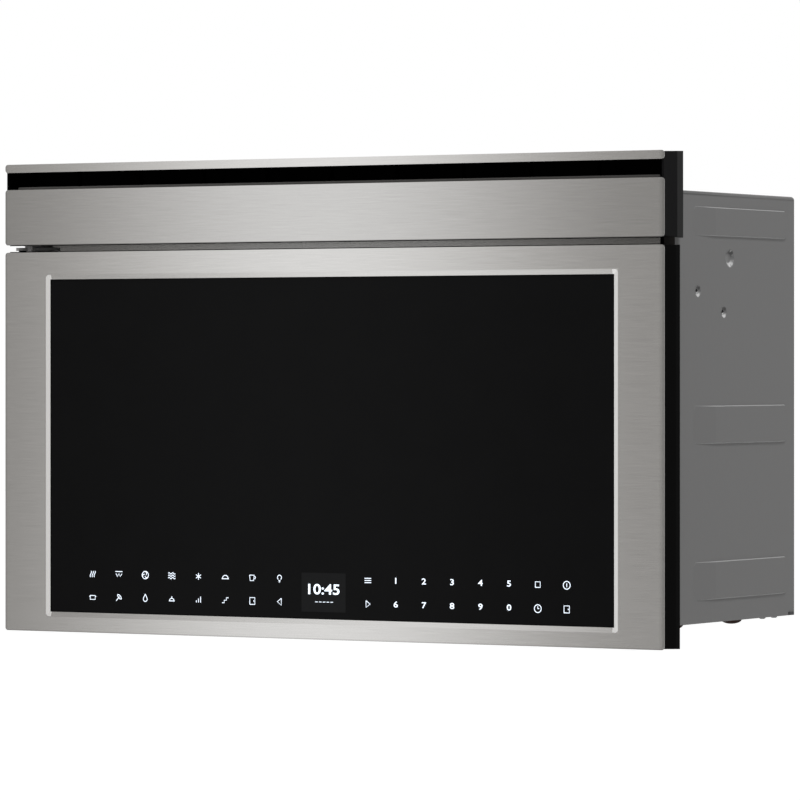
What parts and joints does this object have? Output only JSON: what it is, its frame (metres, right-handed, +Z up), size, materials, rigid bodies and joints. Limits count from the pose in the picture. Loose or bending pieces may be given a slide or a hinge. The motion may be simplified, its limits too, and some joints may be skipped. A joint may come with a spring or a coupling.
{
  "type": "built-in microwave",
  "caption": "Wide built-in microwave and convection oven: side-hinged glass door, steel front with a slotted head, grey boxed body for a cabinet cut-out.",
  "frame": {"origin": "middle of the rear face of the head's top lip, which lands on the face of the cabinet above the cut-out", "axes": "+X to the right seen from the front, +Y to the back into the cabinet, +Z up; the front faces -Y"},
  "size_m": [0.7596, 0.3221, 0.4771],
  "materials": {
    "steel": "brushed stainless steel, fine horizontal grain",
    "black_plastic": "moulded black plastic",
    "dark_glass": "black back-printed glass, glossy",
    "clear_glass": "clear toughened glass",
    "casing": "grey coated sheet steel",
    "dark_frame": "dark painted sheet steel",
    "enamel": "speckled grey enamel",
    "galvanised": "zinc-coated sheet",
    "wire": "bright plated wire",
    "sheath": "dark oxidised heater sheath",
    "copper": "enamelled copper and lacquered steel",
    "light_plastic": "natural moulded plastic",
    "board": "green circuit board",
    "mica": "mica sheet",
    "display": "dark display panel",
    "foot_rubber": "dark rubber",
    "spring_steel": "spring wire"
  },
  "bodies": {
    "casing": {"wrapper": "casing", "rear_panel": "galvanised", "inlet_gland": "black_plastic", "base_plate": "galvanised", "feet": "foot_rubber", "front_frame": "dark_frame", "hinge_brackets": "galvanised", "head_housing": "black_plastic", "vent_grille": "black_plastic", "head_panel": "steel", "head_trim": "steel", "casing_screws": "spring_steel", "oven_cavity": "enamel", "grill_element": "sheath", "rack_supports": "light_plastic", "waveguide": "galvanised", "waveguide_cover": "mica", "magnetron": "galvanised", "lamp_holder": "galvanised", "cavity_lamp": "clear_glass", "probe_jack": "spring_steel", "convection_cover": "enamel", "convection_housing": "galvanised", "ring_heater": "sheath", "convection_motor": "galvanised", "turntable_motor": "galvanised", "fan_shroud": "black_plastic", "cooling_motor": "copper", "air_duct": "light_plastic", "transformer": "copper", "capacitor": "galvanised", "power_boards": "board", "thermal_cutouts": "spring_steel", "interlock_bracket": "light_plastic", "interlock_switches": "black_plastic", "opener_motor": "galvanised"},
    "door": {"door_skin": "steel", "door_glass": "dark_glass", "door_shell": "black_plastic", "latch_spring": "spring_steel", "choke_frame": "galvanised", "choke_cover": "black_plastic", "inner_glass": "clear_glass", "door_screen": "dark_frame", "touch_board": "board", "display_module": "display"},
    "latch": {"latch_bar": "light_plastic"},
    "rack": {"wire_rack": "wire"},
    "turntable": {"glass_turntable": "clear_glass", "turntable_coupler": "light_plastic"},
    "roller_carrier": {"roller_ring": "light_plastic"},
    "roller_a": {"roller_1": "light_plastic"},
    "roller_b": {"roller_2": "light_plastic"},
    "roller_c": {"roller_3": "light_plastic"},
    "convection_impeller": {"convection_fan": "galvanised"},
    "cooling_blades": {"cooling_fan": "black_plastic"},
    "primary_button": {"primary_plunger": "light_plastic"},
    "secondary_button": {"secondary_plunger": "light_plastic"},
    "monitor_button": {"monitor_plunger": "light_plastic"},
    "opener": {"opener_cam": "light_plastic"}
  },
  "joints": [
    {"name": "door_hinge", "type": "hinge", "parent": "casing", "child": "door", "pos_m": [-0.3704, -0.0201, -0.26525], "axis": [0, 0, -1], "range_deg": [0, 110]},
    {"name": "latch_slide", "type": "slide", "parent": "door", "child": "latch", "axis": [0, 0, 1], "range_m": [0, 0.004], "stiffness_N_per_m": 150, "springref_m": -0.004, "deforming": ["latch_spring"]},
    {"name": "rack_lift", "type": "slide", "parent": "casing", "child": "rack", "axis": [0, 0, 1], "range_m": [0, 0.018]},
    {"name": "turntable_spin", "type": "hinge", "parent": "casing", "child": "turntable", "pos_m": [-0.0887, 0.11195, -0.3564], "axis": [0, 0, 1], "continuous": true},
    {"name": "roller_ring_spin", "type": "hinge", "parent": "casing", "child": "roller_carrier", "pos_m": [-0.0887, 0.11195, -0.3564], "axis": [0, 0, 1], "continuous": true},
    {"name": "roller_1_spin", "type": "hinge", "parent": "roller_carrier", "child": "roller_a", "pos_m": [-0.0887, 0.1989, -0.3526], "axis": [0, 1, 0], "continuous": true},
    {"name": "roller_2_spin", "type": "hinge", "parent": "roller_carrier", "child": "roller_b", "pos_m": [-0.164, 0.06847, -0.3526], "axis": [-0.866, -0.5, 0], "continuous": true},
    {"name": "roller_3_spin", "type": "hinge", "parent": "roller_carrier", "child": "roller_c", "pos_m": [-0.0134, 0.06847, -0.3526], "axis": [0.866, -0.5, 0], "continuous": true},
    {"name": "convection_fan_spin", "type": "hinge", "parent": "casing", "child": "convection_impeller", "pos_m": [-0.0887, 0.2419, -0.2314], "axis": [0, 1, 0], "continuous": true},
    {"name": "cooling_fan_spin", "type": "hinge", "parent": "casing", "child": "cooling_blades", "pos_m": [0.2504, 0.2169, -0.1714], "axis": [0, 1, 0], "continuous": true},
    {"name": "primary_press", "type": "slide", "parent": "casing", "child": "primary_button", "axis": [0, 1, 0], "range_m": [0, 0.0012], "stiffness_N_per_m": 400, "springref_m": -0.001},
    {"name": "secondary_press", "type": "slide", "parent": "casing", "child": "secondary_button", "axis": [0, 1, 0], "range_m": [0, 0.0012], "stiffness_N_per_m": 400, "springref_m": -0.001},
    {"name": "monitor_press", "type": "slide", "parent": "casing", "child": "monitor_button", "axis": [0, 0, -1], "range_m": [0, 0.0012], "stiffness_N_per_m": 400, "springref_m": -0.001},
    {"name": "opener_turn", "type": "hinge", "parent": "casing", "child": "opener", "pos_m": [0.3447, 0.022, -0.1734], "axis": [1, 0, 0], "range_deg": [0, 90]}
  ],
  "couplings": [
    {"joint": "roller_ring_spin", "follows": "turntable_spin", "ratio": 0.5},
    {"joint": "roller_1_spin", "follows": "turntable_spin", "ratio": -5.7967},
    {"joint": "roller_2_spin", "follows": "turntable_spin", "ratio": -5.7967},
    {"joint": "roller_3_spin", "follows": "turntable_spin", "ratio": -5.7967}
  ]
}
